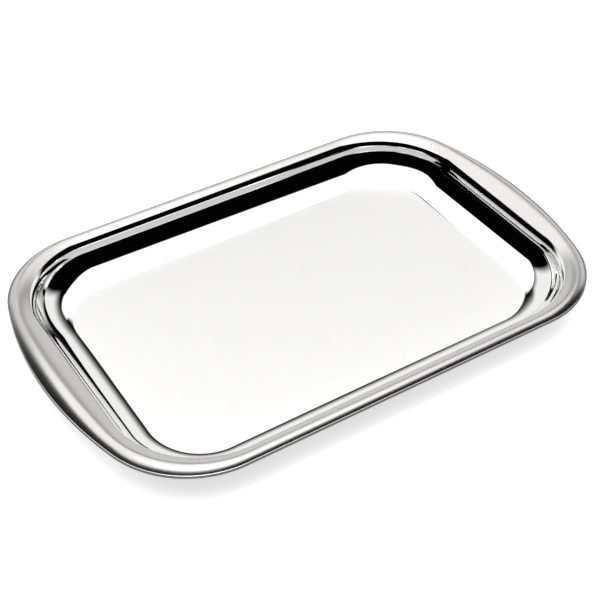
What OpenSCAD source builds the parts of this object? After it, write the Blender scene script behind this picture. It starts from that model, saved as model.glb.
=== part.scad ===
// Serving tray in stainless steel, in millimetres.
// A pressed pan with a polished wall, a satin domed cap round its border,
// and a ring that closes the hollow rim underneath and hems its outer edge.
// Origin: centre of the pan's underside. +X along the length, +Z up.

/* [Well] */
// Length of the well between the seams of the rim, along X
well_length = 353; // [320:1:358]
// Width of the well between the seams of the rim, along Y
well_width = 241; // [220:1:244]
// Radius of the well's corners at the seam, seen from above
well_corner = 64; // [50:1:66]
// Depth from the seam down to the top of the floor
well_depth = 25.5; // [23.5:0.5:30]
// Angle of the upright band of the wall from the horizontal, in degrees
wall_angle = 86; // [80:1:88]
// Radius of the cove from the floor up to the heel of the wall
cove_radius = 26.5; // [20:0.5:30]
// Slope at the top of the cove, where the heel starts, in degrees
cove_angle = 68; // [60:1:72]
// Radius of the heel between the cove and the upright band
heel_radius = 4; // [2:0.5:6]
// Radius of the roll at the top of the wall
roll_radius = 7.5; // [5:0.5:10]
// Slope at the top of the roll, where the wall meets the rim, in degrees
brow_slope = 38; // [32:1:45]

/* [Rim] */
// Overall length, along X
overall_length = 400; // [398:1:430]
// Overall width, along Y
overall_width = 262; // [260:1:290]
// Radius of the bulged ends, seen from above
end_radius = 287; // [260:1:400]
// Radius of the outer corners, seen from above
outer_corner = 70; // [60:1:75]
// Slope of the rim where it meets the well, in degrees
seam_slope = 20; // [5:1:25]
// Slope of the rim where it meets the hem, in degrees
edge_slope = 50; // [35:1:55]
// How far the outer edge of the rim lies below the seam
edge_drop = 0.7; // [0.2:0.1:1]
// Height of the upright hem round the outer edge
hem_height = 2.5; // [2:0.1:4]

/* [Sheet] */
// Thickness of the pan
pan_sheet = 0.9; // [0.6:0.1:1]
// Thickness of the cap
cap_sheet = 0.8; // [0.6:0.1:1]
// Thickness of the closing ring
ring_sheet = 0.6; // [0.5:0.1:0.8]
// Width of the pan's flange under the cap
flange_width = 5; // [4:0.5:6]
// Width of the flat feet on which the cap sits
foot_width = 3; // [2:0.5:3.5]
// Gap at the seam between the cap and the pan
seam_gap = 0.2; // [0.2:0.05:0.4]

/* [Hidden] */
$fn = 96;

// Half sizes of the well at the seam, and of its straight sides
half_length = well_length / 2;
half_width = well_width / 2;
corner_x = half_length - well_corner;
corner_y = half_width - well_corner;

// The wall's section, from the floor outwards: cove, heel, upright band, roll up to the seam
cove_run = cove_radius * sin(cove_angle);
cove_rise = cove_radius * (1 - cos(cove_angle));
heel_run = heel_radius * (sin(wall_angle) - sin(cove_angle));
heel_rise = heel_radius * (cos(cove_angle) - cos(wall_angle));
roll_run = roll_radius * (sin(wall_angle) - sin(brow_slope));
roll_rise = roll_radius * (cos(brow_slope) - cos(wall_angle));
wall_rise = well_depth - cove_rise - heel_rise - roll_rise;
wall_run = wall_rise / tan(wall_angle);
floor_corner = well_corner - cove_run - heel_run - wall_run - roll_run;
bend_lap = 1;

// Heights of the seam, the flange under the cap and the rim's outer edge
seam_z = pan_sheet + well_depth;
flange_top = seam_z - cap_sheet;
flange_bottom = flange_top - pan_sheet;
flange_lap = 0.5;
edge_z = seam_z - edge_drop;
hem_bottom = edge_z - hem_height;
hem_chamfer = 0.3;
ring_inset = 1;

// Centres of the outer outline's arcs
end_x = overall_length / 2 - end_radius;
outer_y = overall_width / 2 - outer_corner;
outer_x = end_x + sqrt(pow(end_radius - outer_corner, 2) - outer_y * outer_y);
end_top = end_radius * outer_y / (end_radius - outer_corner);

// Steps round one quarter of the rim, and across its dome
END_STEPS = 6;
CORNER_STEPS = 14;
SIDE_STEPS = 3;
DOME_STEPS = 9;

// A wedge from the centre, downwards or upwards, that cuts an arc's stretch out of a ring
module wedge(from, to, reach) {
    polygon([[0, 0], reach * [cos(from), sin(from)], reach * [cos((from + to) / 2), sin((from + to) / 2)],
        reach * [cos(to), sin(to)]]);
}

// A stretch of sheet bent to a radius, between two directions
module bend(inner, outer, from, to) {
    intersection() {
        difference() {
            circle(r = outer);
            circle(r = inner);
        }
        wedge(from, to, 2 * outer);
    }
}

// The pan's section from the edge of the flat floor outwards, X is the distance from the corner's centre
module wall_section() {
    cove_middle = [floor_corner, pan_sheet + cove_radius];
    heel_middle = cove_middle + (cove_radius - heel_radius) * [sin(cove_angle), -cos(cove_angle)];
    wall_start = [floor_corner + cove_run + heel_run, pan_sheet + cove_rise + heel_rise];
    wall_end = wall_start + [wall_run, wall_rise];
    across = pan_sheet * [sin(wall_angle), -cos(wall_angle)];
    roll_middle = [well_corner + roll_radius * sin(brow_slope), seam_z - roll_radius * cos(brow_slope)];
    translate(cove_middle)
        bend(cove_radius, cove_radius + pan_sheet, -90, cove_angle - 90);
    translate(heel_middle)
        bend(heel_radius, heel_radius + pan_sheet, cove_angle - 90 - bend_lap, wall_angle - 90 + bend_lap);
    polygon([wall_start, wall_end, wall_end + across, wall_start + across]);
    translate(roll_middle)
        bend(roll_radius - pan_sheet, roll_radius, 90 + brow_slope, 90 + wall_angle + bend_lap);
    translate([well_corner - flange_lap, flange_bottom])
        square([flange_width + flange_lap, pan_sheet]);
}

// One straight stretch of the wall, its middle on the X axis at the given distance
module wall_side(length, distance) {
    translate([distance - well_corner, length / 2, 0])
        rotate([90, 0, 0]) linear_extrude(length) wall_section();
}

// Pressed sheet: flat floor, cove, upright polished band and roll, and the flange under the cap
module tray_pan() {
    color("lightgray") {
        linear_extrude(pan_sheet) {
            square([2 * (corner_x + floor_corner), 2 * corner_y], center = true);
            square([2 * corner_x, 2 * (corner_y + floor_corner)], center = true);
            for (x = [-corner_x, corner_x], y = [-corner_y, corner_y])
                translate([x, y]) circle(r = floor_corner);
        }
        for (turn = [0, 180]) rotate(turn) {
            wall_side(2 * corner_y, half_length);
            rotate(90) wall_side(2 * corner_x, half_width);
            translate([corner_x, corner_y, 0]) rotate_extrude(angle = 90) wall_section();
            translate([-corner_x, corner_y, 0]) rotate(90) rotate_extrude(angle = 90) wall_section();
        }
    }
}

// Where a ray from p in direction n leaves a circle round c
function leave_circle(p, n, c, r) =
    let (q = p - c, along = q * n)
    sqrt(along * along - q * q + r * r) - along;

// Distance from a point of the seam, along its normal, to the outer outline
function rim_width(p, n) =
    let (
        to_end = leave_circle(p, n, [end_x, 0], end_radius),
        to_side = n.y > 0.001 ? (overall_width / 2 - p.y) / n.y : 2 * to_end,
        at_side = p + to_side * n,
        at_end = p + to_end * n
    )
    to_side < to_end && at_side.x <= outer_x ? to_side :
    to_end <= to_side && at_end.y <= end_top ? to_end :
    leave_circle(p, n, [outer_x, outer_y], outer_corner);

// One quarter of the seam, as [point, normal], from the end's middle to the long side's middle
quarter = concat(
    [for (i = [0:END_STEPS - 1]) [[half_length, corner_y * i / END_STEPS], [1, 0]]],
    [for (i = [0:CORNER_STEPS]) let (n = [cos(90 * i / CORNER_STEPS), sin(90 * i / CORNER_STEPS)])
        [[corner_x, corner_y] + well_corner * n, n]],
    [for (i = [1:SIDE_STEPS]) [[corner_x * (1 - i / SIDE_STEPS), half_width], [0, 1]]]
);
widths = [for (s = quarter) rim_width(s[0], s[1])];
last = len(quarter) - 1;

// The whole rim as [point, normal, width], going round through the four quarters
function mirrored(i, mx, my) =
    let (m = [mx, my], s = quarter[i])
    [[s[0].x * mx, s[0].y * my], [s[1].x * mx, s[1].y * my], widths[i]];
stations = concat(
    [for (i = [0:last - 1]) mirrored(i, 1, 1)],
    [for (i = [last:-1:1]) mirrored(i, -1, 1)],
    [for (i = [0:last - 1]) mirrored(i, -1, -1)],
    [for (i = [last:-1:1]) mirrored(i, 1, -1)]
);

// Closed ring that carries a section round the rim; sections holds [distance out, height] for each station
module rim_loft(sections) {
    sides = len(sections[0]);
    rings = len(stations);
    points = [for (k = [0:rings - 1], q = sections[k])
        let (xy = stations[k][0] + q[0] * stations[k][1]) [xy.x, xy.y, q[1]]];
    faces = [for (k = [0:rings - 1], j = [0:sides - 1])
        let (next_k = (k + 1) % rings, next_j = (j + 1) % sides)
        [k * sides + j, k * sides + next_j, next_k * sides + next_j, next_k * sides + j]];
    polyhedron(points = points, faces = faces, convexity = 6);
}

// Height of the dome at a distance out from the seam, for a rim of the given width
function dome_z(u, w) =
    let (f = u / w, rise = w * tan(seam_slope), fall = w * tan(edge_slope))
    seam_z - edge_drop * f * f * (3 - 2 * f) + f * (1 - f) * (rise * (1 - f) + fall * f);

// The cap's section: domed top, then the hollow underside between its two flat feet
function cap_section(width) =
    let (
        w = width - ring_sheet,
        inner = seam_gap,
        crown = [for (j = [0:DOME_STEPS]) let (u = inner + (w - inner) * j / DOME_STEPS) [u, dome_z(u, w)]],
        hollow_from = inner + foot_width,
        hollow_to = w - foot_width / 2,
        hollow = [for (j = [DOME_STEPS:-1:0])
            let (u = hollow_from + (hollow_to - hollow_from) * j / DOME_STEPS)
            [u, dome_z(u, w) - cap_sheet]]
    )
    concat(crown, [[w, flange_bottom], [hollow_to, flange_bottom]], hollow,
        [[hollow_from, flange_top], [inner, flange_top]]);

// Satin domed border, wide at the two ends and narrow along the sides
module rim_cap() {
    color("whitesmoke") rim_loft([for (s = stations) cap_section(s[2])]);
}

// The closing ring's section: upright hem outside, flat web inwards to the pan's flange
function closing_section(width) =
    let (w = width, inside = width - ring_sheet)
    [[inside, edge_z], [w - hem_chamfer, edge_z], [w, edge_z - hem_chamfer], [w, hem_bottom], [inside, hem_bottom],
        [inside, flange_bottom - ring_sheet], [ring_inset, flange_bottom - ring_sheet],
        [ring_inset, flange_bottom], [inside, flange_bottom]];

// Ring that closes the hollow rim from below; its upright hem is the bright line round the tray
module rim_closing_ring() {
    color("silver") rim_loft([for (s = stations) closing_section(s[2])]);
}

tray_pan();
rim_cap();
rim_closing_ring();
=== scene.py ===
# %% [markdown]
# # A steel serving tray
# The real tray is three pressings of stainless steel.
# A shallow pan has a satin floor and a mirror-polished wall.
# A satin, domed cap lies over the pan's border and widens into a grip at each end.
# A ring underneath closes the hollow rim, and its upright hem shows as a bright line round the tray.
# Each pressing is modelled here as its own piece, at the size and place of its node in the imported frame.

# %% Load the frame
import math

import bpy
import bmesh
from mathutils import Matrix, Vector


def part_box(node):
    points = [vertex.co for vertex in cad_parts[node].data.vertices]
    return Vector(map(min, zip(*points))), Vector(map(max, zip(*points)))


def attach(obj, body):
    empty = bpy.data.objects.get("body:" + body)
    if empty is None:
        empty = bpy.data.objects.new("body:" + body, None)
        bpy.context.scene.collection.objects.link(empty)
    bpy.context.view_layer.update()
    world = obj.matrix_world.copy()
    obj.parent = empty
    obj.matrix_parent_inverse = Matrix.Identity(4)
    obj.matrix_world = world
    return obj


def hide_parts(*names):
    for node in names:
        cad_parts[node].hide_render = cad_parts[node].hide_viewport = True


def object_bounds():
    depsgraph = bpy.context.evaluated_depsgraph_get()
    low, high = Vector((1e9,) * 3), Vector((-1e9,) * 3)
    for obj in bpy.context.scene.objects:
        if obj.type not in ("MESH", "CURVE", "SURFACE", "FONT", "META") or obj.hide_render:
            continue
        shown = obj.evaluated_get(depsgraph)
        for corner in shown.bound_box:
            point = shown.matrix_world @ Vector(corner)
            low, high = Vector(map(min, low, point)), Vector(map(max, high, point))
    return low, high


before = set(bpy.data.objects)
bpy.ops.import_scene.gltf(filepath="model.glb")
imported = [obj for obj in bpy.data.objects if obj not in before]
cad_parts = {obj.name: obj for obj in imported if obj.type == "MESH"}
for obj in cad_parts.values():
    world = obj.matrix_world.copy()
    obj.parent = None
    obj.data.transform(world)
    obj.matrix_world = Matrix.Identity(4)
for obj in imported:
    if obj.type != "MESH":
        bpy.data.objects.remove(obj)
cad_low, cad_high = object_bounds()
_, pan_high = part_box("tray_pan")
rim_low, rim_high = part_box("rim_closing_ring")
print("nodes", sorted(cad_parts), "overall", [round(v, 4) for v in cad_high - cad_low])

# %% [markdown]
# ## The tray's driving sizes
# What the frame can tell is read from it: the overall outline and the heights of the seam and hem.
# The rest are the die's own sizes, in metres.
# Points closer than the weld distances are merged, so that spun and mirrored parts close up.
# The wall is a roll at its top, an upright band, a small heel and a large cove down to the floor.

# %% Sizes
MM = 0.001
WELD = 0.001 * MM
MIRROR_WELD = 0.01 * MM
SEAM_Z = pan_high.z
HALF_LENGTH = cad_high.x
HALF_WIDTH = cad_high.y
EDGE_Z = rim_high.z
HEM_BOTTOM = rim_low.z

PAN_SHEET = 0.9 * MM
CAP_SHEET = 0.8 * MM
RING_SHEET = 0.6 * MM

WELL_X = 176.5 * MM
WELL_Y = 120.5 * MM
WELL_CORNER = 64 * MM
CORNER_X = WELL_X - WELL_CORNER
CORNER_Y = WELL_Y - WELL_CORNER

WALL_ANGLE = math.radians(86)
COVE_ANGLE = math.radians(68)
BROW_SLOPE = math.radians(38)
COVE_RADIUS = 26.5 * MM
HEEL_RADIUS = 4 * MM
ROLL_RADIUS = 7.5 * MM
END_RADIUS = 287 * MM
OUTER_CORNER = 70 * MM
SEAM_SLOPE = math.radians(20)
EDGE_SLOPE = math.radians(50)

cove_run = COVE_RADIUS * math.sin(COVE_ANGLE)
cove_rise = COVE_RADIUS * (1 - math.cos(COVE_ANGLE))
heel_run = HEEL_RADIUS * (math.sin(WALL_ANGLE) - math.sin(COVE_ANGLE))
heel_rise = HEEL_RADIUS * (math.cos(COVE_ANGLE) - math.cos(WALL_ANGLE))
roll_run = ROLL_RADIUS * (math.sin(WALL_ANGLE) - math.sin(BROW_SLOPE))
roll_rise = ROLL_RADIUS * (math.cos(BROW_SLOPE) - math.cos(WALL_ANGLE))
wall_rise = SEAM_Z - PAN_SHEET - cove_rise - heel_rise - roll_rise
wall_run = wall_rise / math.tan(WALL_ANGLE)
FLOOR_CORNER = WELL_CORNER - cove_run - heel_run - wall_run - roll_run
print(f"upright band {wall_rise / MM:.2f} mm high, floor corner radius {FLOOR_CORNER / MM:.1f} mm")

# %% [markdown]
# ## The camera
# It stands over the near left corner and looks down at about forty degrees, close enough for perspective.
# Its place is an angle round the tray, an angle above the table and a distance from a point on the tray.

# %% Camera
CAMERA_AZIMUTH = math.radians(-32.56)
CAMERA_HEIGHT = math.radians(40.97)
CAMERA_DISTANCE = 922.4 * MM
CAMERA_TARGET = Vector((-5.65 * MM, -8.22 * MM, SEAM_Z - 13.53 * MM))
CAMERA_LENS = 77.85

camera_data = bpy.data.cameras.new("camera")
camera = bpy.data.objects.new("camera", camera_data)
bpy.context.scene.collection.objects.link(camera)
bpy.context.scene.camera = camera
camera_back = Vector((math.sin(CAMERA_AZIMUTH) * math.cos(CAMERA_HEIGHT),
                      -math.cos(CAMERA_AZIMUTH) * math.cos(CAMERA_HEIGHT),
                      math.sin(CAMERA_HEIGHT)))
camera.location = CAMERA_TARGET + camera_back * CAMERA_DISTANCE
camera.rotation_euler = camera_back.to_track_quat("Z", "Y").to_euler()
camera_data.lens = CAMERA_LENS
camera_data.sensor_width = 36
camera_data.clip_start = 0.01
print("camera at", [round(v, 3) for v in camera.location])

# %% [markdown]
# ## Helpers for modelling by operator
# Operators act on whatever is selected, so each piece starts from nothing selected.
# A pressing starts as a single point, because a point can be spun into an arc and an arc into a surface.

# %% Starting a piece and choosing its parts
def start_point(name, place):
    """A new piece that is one selected vertex, in edit mode."""
    bpy.ops.object.select_all(action="DESELECT")
    bpy.ops.mesh.primitive_plane_add(size=MM, location=place)
    piece = bpy.context.object
    piece.name = name
    piece.data.name = name
    bpy.ops.object.transform_apply(location=True, rotation=True, scale=True)
    bpy.ops.object.mode_set(mode="EDIT")
    bpy.ops.mesh.select_mode(type="VERT")
    bpy.ops.mesh.select_all(action="SELECT")
    bpy.ops.mesh.merge(type="CENTER")
    return piece


def choose(piece, test):
    """Selects the vertices whose place passes a test, and what lies between them."""
    bpy.ops.mesh.select_all(action="DESELECT")
    mesh = bmesh.from_edit_mesh(piece.data)
    for vertex in mesh.verts:
        vertex.select = test(vertex.co)
    mesh.select_flush(True)
    bmesh.update_edit_mesh(piece.data)


def extrude(move):
    bpy.ops.mesh.extrude_region_move(TRANSFORM_OT_translate={"value": move})


def spin(steps, angle, axis, centre):
    """Turns what is selected about an axis, anticlockwise to someone whom the axis points at."""
    clockwise = [-part for part in axis]
    bpy.ops.mesh.spin(steps=steps, angle=angle, axis=clockwise, center=centre)


def near(a, b):
    return abs(a - b) < MIRROR_WELD


def add_modifier(piece, kind, **settings):
    """Adds a modifier with its settings and applies it."""
    modifier = piece.modifiers.new(kind.lower(), kind)
    for name, value in settings.items():
        setattr(modifier, name, value)
    bpy.ops.object.select_all(action="DESELECT")
    bpy.context.view_layer.objects.active = piece
    piece.select_set(True)
    bpy.ops.object.modifier_apply(modifier=modifier.name)


def report(piece):
    size = [round(v / MM, 2) for v in piece.dimensions]
    faces = sum(len(p.vertices) - 2 for p in piece.data.polygons)
    print(piece.name, "size in mm", size, "triangles", faces)


# %% [markdown]
# ## The pan's section
# The real pan is drawn by a die, so its wall has one section all the way round.
# A profile could be typed in as points, but the arcs are what the die is made from.
# So the section is drawn as a toolmaker would: spin the cove and the heel, run up the band, spin the roll.
# Then it steps down under the cap and runs out as a flat flange, which the rim is fixed to.

# %% Draw the section at the start of one corner
COVE_STEPS = 30
HEEL_STEPS = 10
ROLL_STEPS = 16
FLANGE_WIDTH = 5 * MM
JOGGLE = 0.3 * MM

pan = start_point("pressed_pan", (CORNER_X + FLOOR_CORNER, CORNER_Y, PAN_SHEET))
cove_centre = (CORNER_X + FLOOR_CORNER, CORNER_Y, PAN_SHEET + COVE_RADIUS)
spin(COVE_STEPS, COVE_ANGLE, (0, -1, 0), cove_centre)
heel_reach = COVE_RADIUS - HEEL_RADIUS
heel_centre = (cove_centre[0] + heel_reach * math.sin(COVE_ANGLE), CORNER_Y,
               cove_centre[2] - heel_reach * math.cos(COVE_ANGLE))
spin(HEEL_STEPS, WALL_ANGLE - COVE_ANGLE, (0, -1, 0), heel_centre)
extrude((wall_run, 0, wall_rise))
roll_centre = (WELL_X + ROLL_RADIUS * math.sin(BROW_SLOPE), CORNER_Y,
               SEAM_Z - ROLL_RADIUS * math.cos(BROW_SLOPE))
spin(ROLL_STEPS, WALL_ANGLE - BROW_SLOPE, (0, 1, 0), roll_centre)
seam = max((v.co for v in bmesh.from_edit_mesh(pan.data).verts), key=lambda co: co.z)
print("section ends in mm at", [round(v / MM, 3) for v in seam], "seam is at", WELL_X / MM, SEAM_Z / MM)
extrude((JOGGLE, 0, -CAP_SHEET))
extrude((FLANGE_WIDTH, 0, 0))

# %% [markdown]
# ## Round the corner and along the sides
# A quarter turn of the section gives the corner, and extruding its ends gives half of each straight side.
# The tray is the same in all four quarters, so mirrors make the rest.

# %% Spin the corner and run out the sides
CORNER_STEPS = 48

bpy.ops.mesh.select_all(action="SELECT")
spin(CORNER_STEPS, math.pi / 2, (0, 0, 1), (CORNER_X, CORNER_Y, 0))
bpy.ops.mesh.select_all(action="SELECT")
bpy.ops.mesh.remove_doubles(threshold=WELD)
choose(pan, lambda co: near(co.y, CORNER_Y))
extrude((0, -CORNER_Y, 0))
choose(pan, lambda co: near(co.x, CORNER_X))
extrude((-CORNER_X, 0, 0))
bpy.ops.object.mode_set(mode="OBJECT")
add_modifier(pan, "MIRROR", use_axis=(True, True, False), merge_threshold=MIRROR_WELD)
report(pan)

# %% [markdown]
# ## The floor, the two finishes and the thickness
# The floor closes the inner edge, and an inset ring gives it a border of neat faces.
# The polishing wheel stops where the cove runs out into the floor, so the floor's satin starts there.
# Normals are set before the sheet gets its thickness, which grows downwards from the surface that is seen.

# %% Close the floor and thicken the sheet
FLOOR_BORDER = 4 * MM
SATIN_UP_THE_COVE = math.radians(2.6)
SATIN_MATERIAL = 1
SMOOTH_PAN = math.radians(30)

bpy.ops.object.mode_set(mode="EDIT")
choose(pan, lambda co: near(co.z, PAN_SHEET))
bpy.ops.mesh.edge_face_add()
bpy.ops.mesh.inset(thickness=FLOOR_BORDER, depth=0)
bpy.ops.mesh.select_all(action="SELECT")
bpy.ops.mesh.remove_doubles(threshold=WELD)
bpy.ops.mesh.normals_make_consistent(inside=False)
bpy.ops.object.mode_set(mode="OBJECT")
floor_face = max(pan.data.polygons, key=lambda face: face.area)
if floor_face.normal.z < 0:
    pan.data.flip_normals()
print("floor face", round(floor_face.area * 1e4, 1), "cm2, normal", round(floor_face.normal.z, 2))

satin_top = PAN_SHEET + COVE_RADIUS * (1 - math.cos(SATIN_UP_THE_COVE))
satin_faces = [face.index for face in pan.data.polygons if face.center.z < satin_top]
for index in satin_faces:
    pan.data.polygons[index].material_index = SATIN_MATERIAL
add_modifier(pan, "SOLIDIFY", thickness=PAN_SHEET, offset=-1, use_even_offset=True, use_quality_normals=True)
bpy.ops.object.shade_smooth_by_angle(angle=SMOOTH_PAN)
report(pan)

# %% [markdown]
# ## The rim's changing width
# The seam is a rounded rectangle and the outer edge bulges at both ends, so the rim's width changes.
# The width at a point of the seam is how far its normal runs before it meets the outer edge.
# That edge is a straight side, a corner arc and a long end arc, each tangent to the next.

# %% Where the outer edge is
END_CENTRE = Vector((HALF_LENGTH - END_RADIUS, 0))
corner_centre_y = HALF_WIDTH - OUTER_CORNER
corner_centre_x = END_CENTRE.x + math.sqrt((END_RADIUS - OUTER_CORNER) ** 2 - corner_centre_y ** 2)
OUTER_CENTRE = Vector((corner_centre_x, corner_centre_y))
END_TOP = END_RADIUS * corner_centre_y / (END_RADIUS - OUTER_CORNER)


def seam_foot(x, y):
    """The seam's nearest point to a point of the first quarter, and the seam's normal there."""
    if y <= CORNER_Y:
        return Vector((WELL_X, y)), Vector((1, 0))
    if x <= CORNER_X:
        return Vector((x, WELL_Y)), Vector((0, 1))
    centre = Vector((CORNER_X, CORNER_Y))
    normal = (Vector((x, y)) - centre).normalized()
    return centre + WELL_CORNER * normal, normal


def leave_circle(point, normal, centre, radius):
    """How far a ray from inside a circle runs before it leaves it."""
    to_point = point - centre
    along = to_point.dot(normal)
    return math.sqrt(along * along - to_point.length_squared + radius * radius) - along


def rim_width(foot, normal):
    to_end = leave_circle(foot, normal, END_CENTRE, END_RADIUS)
    to_side = (HALF_WIDTH - foot.y) / normal.y if normal.y > 0.001 else 2 * to_end
    if to_side < to_end and (foot + to_side * normal).x <= OUTER_CENTRE.x:
        return to_side
    if to_end <= to_side and (foot + to_end * normal).y <= END_TOP:
        return to_end
    return leave_circle(foot, normal, OUTER_CENTRE, OUTER_CORNER)


for label, spot in (("end", (WELL_X, 0)), ("corner", (WELL_X, WELL_Y)), ("side", (0, WELL_Y))):
    print("rim width at the", label, round(rim_width(*seam_foot(*spot)) / MM, 2), "mm")

# %% [markdown]
# ## Carrying a section round the rim
# Spinning alone can't follow a rim whose width changes.
# So one quarter of the seam is drawn by extruding and spinning a point.
# Each extrusion of that line is laid on the next point of the section, for the width that the rim has there.

# %% Sweep one quarter and mirror it
END_STEPS = 16
SIDE_STEPS = 10


def draw_seam_quarter(name):
    """One quarter of the seam as a line of edges, from the end's middle to the side's middle."""
    piece = start_point(name, (WELL_X, 0, SEAM_Z))
    for step in range(END_STEPS):
        extrude((0, CORNER_Y / END_STEPS, 0))
    spin(CORNER_STEPS, math.pi / 2, (0, 0, 1), (CORNER_X, CORNER_Y, 0))
    for step in range(SIDE_STEPS):
        extrude((-CORNER_X / SIDE_STEPS, 0, 0))
    bpy.ops.mesh.select_all(action="SELECT")
    bpy.ops.mesh.remove_doubles(threshold=WELD)
    return piece


def lay_on_section(piece, section, index):
    """Moves the selected line onto one point of the section."""
    mesh = bmesh.from_edit_mesh(piece.data)
    for vertex in mesh.verts:
        if vertex.select:
            foot, normal = seam_foot(vertex.co.x, vertex.co.y)
            out, height = section(rim_width(foot, normal))[index]
            vertex.co = (*(foot + out * normal), height)
    bmesh.update_edit_mesh(piece.data)


def sweep_rim(name, section, closed):
    """A piece with the given section all round the rim. The section is a rule from width to points."""
    piece = draw_seam_quarter(name)
    count = len(section(HALF_LENGTH - WELL_X))
    bpy.ops.mesh.select_all(action="SELECT")
    lay_on_section(piece, section, 0)
    for index in list(range(1, count)) + ([0] if closed else []):
        bpy.ops.mesh.extrude_edges_move(TRANSFORM_OT_translate={"value": (0, 0, MM)})
        lay_on_section(piece, section, index)
    bpy.ops.mesh.select_all(action="SELECT")
    bpy.ops.mesh.remove_doubles(threshold=WELD)
    bpy.ops.object.mode_set(mode="OBJECT")
    add_modifier(piece, "MIRROR", use_axis=(True, True, False), merge_threshold=MIRROR_WELD)
    bpy.ops.object.mode_set(mode="EDIT")
    bpy.ops.mesh.select_all(action="SELECT")
    bpy.ops.mesh.normals_make_consistent(inside=False)
    bpy.ops.object.mode_set(mode="OBJECT")
    return piece


# %% [markdown]
# ## The satin cap
# The cap rises from the seam, crowns over the hollow rim and falls steeply to the hem, where it turns down.
# One formula gives the height from the two slopes, so the grips crown higher than the narrow sides.
# The frame's dome is made of flats and so a hair lower, and the crown is trimmed to stay under it.

# %% Make the cap
SEAM_GAP = 0.1 * MM
DOME_STEPS = 22
CAP_TURN_DOWN = 1.2 * MM
SMOOTH_RIM = math.radians(35)
EDGE_DROP = SEAM_Z - EDGE_Z
_, cap_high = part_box("rim_cap")


def dome_rise(out, width):
    """Height above the seam, for a crown of the given width."""
    share = out / width
    rise = width * math.tan(SEAM_SLOPE)
    fall = width * math.tan(EDGE_SLOPE)
    sag = EDGE_DROP * share * share * (3 - 2 * share)
    return share * (1 - share) * (rise * (1 - share) + fall * share) - sag


CROWN_TRIES = 500
widest_crown = HALF_LENGTH - WELL_X - RING_SHEET
full_rise = max(dome_rise(widest_crown * i / CROWN_TRIES, widest_crown) for i in range(CROWN_TRIES + 1))
CROWN_TRIM = (cap_high.z - SEAM_Z) / full_rise
print(f"crown rises {full_rise / MM:.2f} mm at the grips, trimmed by {1 - CROWN_TRIM:.4f}")


def cap_section(width):
    crown = width - RING_SHEET
    steps = [SEAM_GAP + (crown - SEAM_GAP) * i / DOME_STEPS for i in range(DOME_STEPS + 1)]
    dome = [(out, SEAM_Z + CROWN_TRIM * dome_rise(out, crown)) for out in steps]
    return dome + [(crown, EDGE_Z - CAP_TURN_DOWN)]


cap = sweep_rim("satin_rim", cap_section, closed=False)
highest_face = max(cap.data.polygons, key=lambda face: face.center.z)
if highest_face.normal.z < 0:
    cap.data.flip_normals()
add_modifier(cap, "SOLIDIFY", thickness=CAP_SHEET, offset=-1, use_even_offset=False)
bpy.ops.object.shade_smooth_by_angle(angle=SMOOTH_RIM)
report(cap)

# %% [markdown]
# ## The closing ring and its hem
# Underneath, a flat web bridges the hollow rim from the pan out to the edge.
# Its outer edge is folded into an upright hem with rounded lips, the bright line that runs round the tray.

# %% Make the closing ring
LIP_RADIUS = 0.28 * MM
LIP_STEPS = 4
WEB_TOP = SEAM_Z - CAP_SHEET - PAN_SHEET
WEB_INSET = 1.2 * MM


def lip(out, height, start):
    """A rounded lip: points of a quarter turn about a centre, clockwise from a direction."""
    turns = [math.radians(start - 90 * i / LIP_STEPS) for i in range(LIP_STEPS + 1)]
    return [(out + LIP_RADIUS * math.cos(a), height + LIP_RADIUS * math.sin(a)) for a in turns]


def ring_section(width):
    inside = width - RING_SHEET
    outer = width - LIP_RADIUS
    inner = inside + LIP_RADIUS
    top = EDGE_Z - LIP_RADIUS
    bottom = HEM_BOTTOM + LIP_RADIUS
    web_low = WEB_TOP - RING_SHEET
    web = [(inside, web_low), (WEB_INSET, web_low), (WEB_INSET, WEB_TOP), (inside, WEB_TOP)]
    return lip(inner, top, 180) + lip(outer, top, 90) + lip(outer, bottom, 0) + lip(inner, bottom, 270) + web


ring = sweep_rim("hem_ring", ring_section, closed=True)
bpy.ops.object.select_all(action="DESELECT")
ring.select_set(True)
bpy.context.view_layer.objects.active = ring
bpy.ops.object.shade_smooth_by_angle(angle=SMOOTH_RIM)
report(ring)

# %% [markdown]
# ## A map for grain that follows the rim
# The rim is finished by running it along a belt, so its fine lines follow its outline round the corners.
# A UV map with the distance along the seam and the distance out from it lets one straight grain do that.

# %% Map distance along the rim and across it
def along_seam(x, y):
    if y <= CORNER_Y:
        return y
    if x <= CORNER_X:
        return CORNER_Y + WELL_CORNER * math.pi / 2 + CORNER_X - x
    return CORNER_Y + WELL_CORNER * math.atan2(y - CORNER_Y, x - CORNER_X)


def map_along_rim(piece):
    uv = piece.data.uv_layers.new(name="along_rim")
    for corner in piece.data.loops:
        co = piece.data.vertices[corner.vertex_index].co
        x, y = abs(co.x), abs(co.y)
        foot, normal = seam_foot(x, y)
        out = (Vector((x, y)) - foot).dot(normal)
        uv.data[corner.index].uv = (along_seam(x, y), out)
    print(piece.name, "mapped, quarter length", round(along_seam(0, WELL_Y) / MM), "mm")


for piece in (cap, ring):
    map_along_rim(piece)

# %% [markdown]
# ## Steel finishes
# Both finishes are the same steel; only how fine the surface is changes.
# The grain group stretches a noise along the way the surface was rubbed.
# It gives a height, a roughness and a tint. Every finish uses it at its own strength, so it is built once.

# %% The grain group
LINE_DETAIL = 3
CLOUDS_PER_METRE = 28
CLOUD_DETAIL = 4


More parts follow.
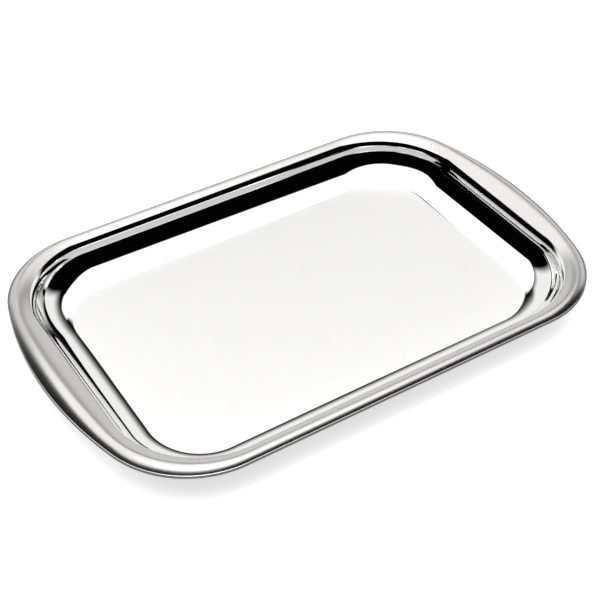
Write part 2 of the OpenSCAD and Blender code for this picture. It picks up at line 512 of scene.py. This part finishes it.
def make_grain_group():
    group = bpy.data.node_groups.new("rubbed_grain", "ShaderNodeTree")
    face = group.interface
    face.new_socket("Vector", in_out="INPUT", socket_type="NodeSocketVector")
    for name in ("Lines per metre", "Stretch", "Roughness", "Roughness spread"):
        face.new_socket(name, in_out="INPUT", socket_type="NodeSocketFloat")
    for name in ("Light", "Dark"):
        face.new_socket(name, in_out="INPUT", socket_type="NodeSocketColor")
    face.new_socket("Height", in_out="OUTPUT", socket_type="NodeSocketFloat")
    face.new_socket("Roughness", in_out="OUTPUT", socket_type="NodeSocketFloat")
    face.new_socket("Color", in_out="OUTPUT", socket_type="NodeSocketColor")
    nodes, links = group.nodes, group.links
    given = nodes.new("NodeGroupInput")
    made = nodes.new("NodeGroupOutput")

    split = nodes.new("ShaderNodeSeparateXYZ")
    links.new(given.outputs["Vector"], split.inputs[0])
    shorten = nodes.new("ShaderNodeMath")
    shorten.operation = "DIVIDE"
    links.new(split.outputs["X"], shorten.inputs[0])
    links.new(given.outputs["Stretch"], shorten.inputs[1])
    joined = nodes.new("ShaderNodeCombineXYZ")
    links.new(shorten.outputs[0], joined.inputs["X"])
    links.new(split.outputs["Y"], joined.inputs["Y"])
    links.new(split.outputs["Z"], joined.inputs["Z"])

    lines = nodes.new("ShaderNodeTexNoise")
    lines.inputs["Detail"].default_value = LINE_DETAIL
    links.new(joined.outputs[0], lines.inputs["Vector"])
    links.new(given.outputs["Lines per metre"], lines.inputs["Scale"])
    clouds = nodes.new("ShaderNodeTexNoise")
    clouds.inputs["Scale"].default_value = CLOUDS_PER_METRE
    clouds.inputs["Detail"].default_value = CLOUD_DETAIL
    links.new(given.outputs["Vector"], clouds.inputs["Vector"])

    spread = nodes.new("ShaderNodeMapRange")
    spread.inputs["To Min"].default_value = -1
    links.new(clouds.outputs["Fac"], spread.inputs["Value"])
    rough = nodes.new("ShaderNodeMath")
    rough.operation = "MULTIPLY_ADD"
    links.new(spread.outputs[0], rough.inputs[0])
    links.new(given.outputs["Roughness spread"], rough.inputs[1])
    links.new(given.outputs["Roughness"], rough.inputs[2])

    tint = nodes.new("ShaderNodeMix")
    tint.data_type = "RGBA"
    links.new(lines.outputs["Fac"], tint.inputs["Factor"])
    links.new(given.outputs["Light"], tint.inputs["A"])
    links.new(given.outputs["Dark"], tint.inputs["B"])
    links.new(lines.outputs["Fac"], made.inputs["Height"])
    links.new(rough.outputs[0], made.inputs["Roughness"])
    links.new(tint.outputs["Result"], made.inputs["Color"])
    return group


grain = make_grain_group()
gives = [item.name for item in grain.interface.items_tree if item.in_out == "OUTPUT"]
print("group", grain.name, "gives", gives)

# %% [markdown]
# ## Four finishes from one steel
# The mirror wall keeps a very low roughness, so what it shows stays crisp.
# The satin rim is rougher, with a fine grain in colour and in bump, and the hem is bright but handled.
# The real floor is bare metal too, but it shows an even pale tone with hardly any of the room in it.
# So it is set as mostly scattering, which isn't how bare metal works but keeps the tone even.

# %% Materials
MIRROR_BUMP = 0.0004 * MM
SATIN_BUMP = 0.004 * MM
HEM_BUMP = 0.001 * MM
FLOOR_METAL = 0.2


def make_steel(name, rough, spread, lines, stretch, light, dark, bump, uv_map=None, metal=1):
    material = bpy.data.materials.new(name)
    material.use_nodes = True
    nodes, links = material.node_tree.nodes, material.node_tree.links
    shader = nodes["Principled BSDF"]
    shader.inputs["Metallic"].default_value = metal
    if uv_map:
        place = nodes.new("ShaderNodeUVMap")
        place.uv_map = uv_map
        place_out = place.outputs["UV"]
    else:
        place = nodes.new("ShaderNodeTexCoord")
        place_out = place.outputs["Object"]
    rubbed = nodes.new("ShaderNodeGroup")
    rubbed.node_tree = grain
    rubbed.inputs["Lines per metre"].default_value = lines
    rubbed.inputs["Stretch"].default_value = stretch
    rubbed.inputs["Roughness"].default_value = rough
    rubbed.inputs["Roughness spread"].default_value = spread
    rubbed.inputs["Light"].default_value = (*light, 1)
    rubbed.inputs["Dark"].default_value = (*dark, 1)
    links.new(place_out, rubbed.inputs["Vector"])
    links.new(rubbed.outputs["Color"], shader.inputs["Base Color"])
    links.new(rubbed.outputs["Roughness"], shader.inputs["Roughness"])
    raised = nodes.new("ShaderNodeBump")
    raised.inputs["Strength"].default_value = 1
    raised.inputs["Distance"].default_value = bump
    links.new(rubbed.outputs["Height"], raised.inputs["Height"])
    links.new(raised.outputs["Normal"], shader.inputs["Normal"])
    return material


polished = make_steel("mirror_wall", 0.03, 0.012, 700, 14, (0.88, 0.88, 0.87), (0.84, 0.84, 0.83),
                      MIRROR_BUMP)
satin_floor = make_steel("satin_floor", 0.32, 0.03, 1500, 12, (0.89, 0.885, 0.875), (0.83, 0.825, 0.815),
                         SATIN_BUMP, metal=FLOOR_METAL)
satin_rim = make_steel("satin_rim", 0.26, 0.03, 1700, 26, (0.62, 0.605, 0.585), (0.55, 0.535, 0.52),
                       SATIN_BUMP, uv_map="along_rim")
bright_hem = make_steel("bright_hem", 0.10, 0.03, 900, 20, (0.86, 0.86, 0.85), (0.80, 0.80, 0.79), HEM_BUMP,
                        uv_map="along_rim")
pan.data.materials.append(polished)
pan.data.materials.append(satin_floor)
cap.data.materials.append(satin_rim)
ring.data.materials.append(bright_hem)
print("materials", [m.name for m in bpy.data.materials if m.users])

# %% [markdown]
# ## The table
# The tray lies on a plain pale table, which the camera sees as nearly white with a faint shadow.
# Polished steel close to a white table would mirror it, so dark card is laid round such a piece in a studio.
# Loose cards would show, so one material does both: it is pale to the camera and dark to every other ray.

# %% Table
TABLE_PALE = 0.9
TABLE_GLOW = 0.7
CARD_DARK = 0.22

bpy.ops.object.select_all(action="DESELECT")
bpy.ops.mesh.primitive_circle_add(vertices=64, radius=6, fill_type="NGON", location=(0, 0, 0))
table = bpy.context.object
table.name = "table"
table_paint = bpy.data.materials.new("table_white")
table_paint.use_nodes = True
tn, tl = table_paint.node_tree.nodes, table_paint.node_tree.links
lit = tn["Principled BSDF"]
lit.inputs["Base Color"].default_value = (TABLE_PALE, TABLE_PALE, TABLE_PALE, 1)
lit.inputs["Roughness"].default_value = 0.9
lit.inputs["Emission Color"].default_value = (1, 1, 1, 1)
lit.inputs["Emission Strength"].default_value = TABLE_GLOW
carded = tn.new("ShaderNodeBsdfDiffuse")
carded.inputs["Color"].default_value = (CARD_DARK, CARD_DARK, CARD_DARK, 1)
looked_at = tn.new("ShaderNodeLightPath")
by_ray = tn.new("ShaderNodeMixShader")
tl.new(looked_at.outputs["Is Camera Ray"], by_ray.inputs["Fac"])
tl.new(carded.outputs[0], by_ray.inputs[1])
tl.new(lit.outputs[0], by_ray.inputs[2])
tl.new(by_ray.outputs[0], tn["Material Output"].inputs["Surface"])
table.data.materials.append(table_paint)
print("table", [round(v, 1) for v in table.dimensions], "m")

# %% [markdown]
# ## The studio
# Polished steel shows its surroundings, so the light is drawn as the tray would see it in a small studio.
# Lamps could be placed round it, but a mirror also shows their edges, and here those make the black stripes.
# So the room is drawn on the world, by how high a ray goes and which way it heads, both in degrees.
# A heading of 0 runs towards +Y, and it grows towards +X.
# First come the brightnesses, then helpers that turn sums on angles into nodes.

# %% Brightnesses and helpers for the room
TOP_LIGHT = 1.35
OVERHEAD_LIGHT = 5.3
LEFT_GLOW = 0.5
SWEEP_LIGHT = 1.0
DARK_ROOM = 0.001
BACKGROUND = 1.0

world = bpy.data.worlds.new("studio")
bpy.context.scene.world = world
world.use_nodes = True
wn, wl = world.node_tree.nodes, world.node_tree.links
wn.clear()


def calc(operation, a, b=None, c=None):
    """A Math node of the studio. Each input is a number or another node's output."""
    node = wn.new("ShaderNodeMath")
    node.operation = operation
    for socket, value in zip(node.inputs, (a, b, c)):
        if isinstance(value, bpy.types.NodeSocket):
            wl.new(value, socket)
        elif value is not None:
            socket.default_value = value
    return node.outputs[0]


def ramp(value, low, high):
    """Rises smoothly from 0 at low to 1 at high, where low may be the larger."""
    node = wn.new("ShaderNodeMapRange")
    node.interpolation_type = "SMOOTHSTEP"
    for name, given in (("Value", value), ("From Min", low), ("From Max", high)):
        if isinstance(given, bpy.types.NodeSocket):
            wl.new(given, node.inputs[name])
        else:
            node.inputs[name].default_value = given
    return node.outputs[0]


sky = wn.new("ShaderNodeTexCoord")
split = wn.new("ShaderNodeSeparateXYZ")
wl.new(sky.outputs["Generated"], split.inputs[0])
TO_DEGREES = 180 / math.pi
above = calc("MULTIPLY", calc("ARCSINE", split.outputs["Z"]), TO_DEGREES)
heading = calc("MULTIPLY", calc("ARCTAN2", split.outputs["X"], split.outputs["Y"]), TO_DEGREES)


def off_heading(middle):
    """Degrees between where a ray goes and a compass direction, from 0 to 180."""
    turned = calc("ABSOLUTE", calc("SUBTRACT", heading, middle))
    return calc("MINIMUM", turned, calc("SUBTRACT", 360, turned))


# %% [markdown]
# ## The soft light overhead
# A wide soft light hangs over the tray, brightest straight above, where the floor faces.
# Its edge is about forty degrees up, higher all along the front and a little lower behind on the right.
# Below that edge the room is dark, which is what makes the wall's black stripes.

# %% Overhead light
TOP_EDGE = 40.2
TOP_EDGE_SOFT = 2.5
FRONT_LIFT = 11
RIGHT_DROP = 1.7

in_front = ramp(off_heading(175), 125, 60)
right_behind = ramp(off_heading(60), 25, 20)
drop = calc("MULTIPLY", right_behind, RIGHT_DROP)
top_edge = calc("SUBTRACT", calc("MULTIPLY_ADD", in_front, FRONT_LIFT, TOP_EDGE), drop)
glow = calc("MULTIPLY", ramp(off_heading(-5), 48, 22), ramp(above, 54, 48))
even = calc("MULTIPLY_ADD", glow, LEFT_GLOW, TOP_LIGHT)
strength = calc("MULTIPLY_ADD", ramp(above, 62, 86), OVERHEAD_LIGHT - TOP_LIGHT, even)
top = calc("MULTIPLY", ramp(above, top_edge, calc("ADD", top_edge, TOP_EDGE_SOFT)), strength)
print("overhead light starts", TOP_EDGE, "degrees up, and", TOP_EDGE + FRONT_LIFT, "in front")

# %% [markdown]
# ## The white sweep behind
# A sheet of white paper stands behind the tray and fades out upwards, higher on the left than on the right.
# The dark gap left under the overhead light draws the dark line at the foot of the near and left walls.
# The camera is given plain white in place of this room, so that nothing but the tray shows.

# %% Sweep and world
SWEEP_HEADING = 33
SWEEP_TOP = 40
SWEEP_FADE = 24
LEFT_LIFT = 3
LEFT_FADE_LIFT = 10

behind = ramp(off_heading(SWEEP_HEADING), 66, 52)
left_behind = ramp(off_heading(-12), 34, 20)
sweep_low = calc("MULTIPLY_ADD", left_behind, LEFT_FADE_LIFT, SWEEP_FADE)
sweep_high = calc("MULTIPLY_ADD", left_behind, LEFT_LIFT, SWEEP_TOP)
sweep = calc("MULTIPLY", calc("MULTIPLY", ramp(above, sweep_high, sweep_low), behind), SWEEP_LIGHT)
room = calc("MAXIMUM", calc("MAXIMUM", top, sweep), DARK_ROOM)

seen = wn.new("ShaderNodeLightPath")
plain = wn.new("ShaderNodeBackground")
plain.inputs["Strength"].default_value = BACKGROUND
studio = wn.new("ShaderNodeBackground")
wl.new(room, studio.inputs["Strength"])
either = wn.new("ShaderNodeMixShader")
wl.new(seen.outputs["Is Camera Ray"], either.inputs["Fac"])
wl.new(studio.outputs[0], either.inputs[1])
wl.new(plain.outputs[0], either.inputs[2])
world_out = wn.new("ShaderNodeOutputWorld")
wl.new(either.outputs[0], world_out.inputs["Surface"])
for background in (plain, studio):
    background.inputs["Color"].default_value = (1, 1, 1, 1)
bpy.context.scene.view_settings.view_transform = "Standard"
print("studio nodes", len(wn))

# %% [markdown]
# ## Join the pieces to the frame
# Nothing on the tray moves, so every piece rides on the one body.
# Each stands for its node in the frame, and the node's own piece is hidden.

# %% Ride and replace
for piece, node, slot in ((pan, "tray_pan", "polished_steel"),
                          (cap, "rim_cap", "satin_steel"),
                          (ring, "rim_closing_ring", "hem_steel")):
    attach(piece, "root")
    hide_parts(node)

# %% [markdown]
# ## The frame's box
# Modelling for looks is meant to keep the tray's size, so the frame's box is printed.

# %% Print the frame's box and finish
print("CAD box", [round(v, 5) for v in cad_high - cad_low])
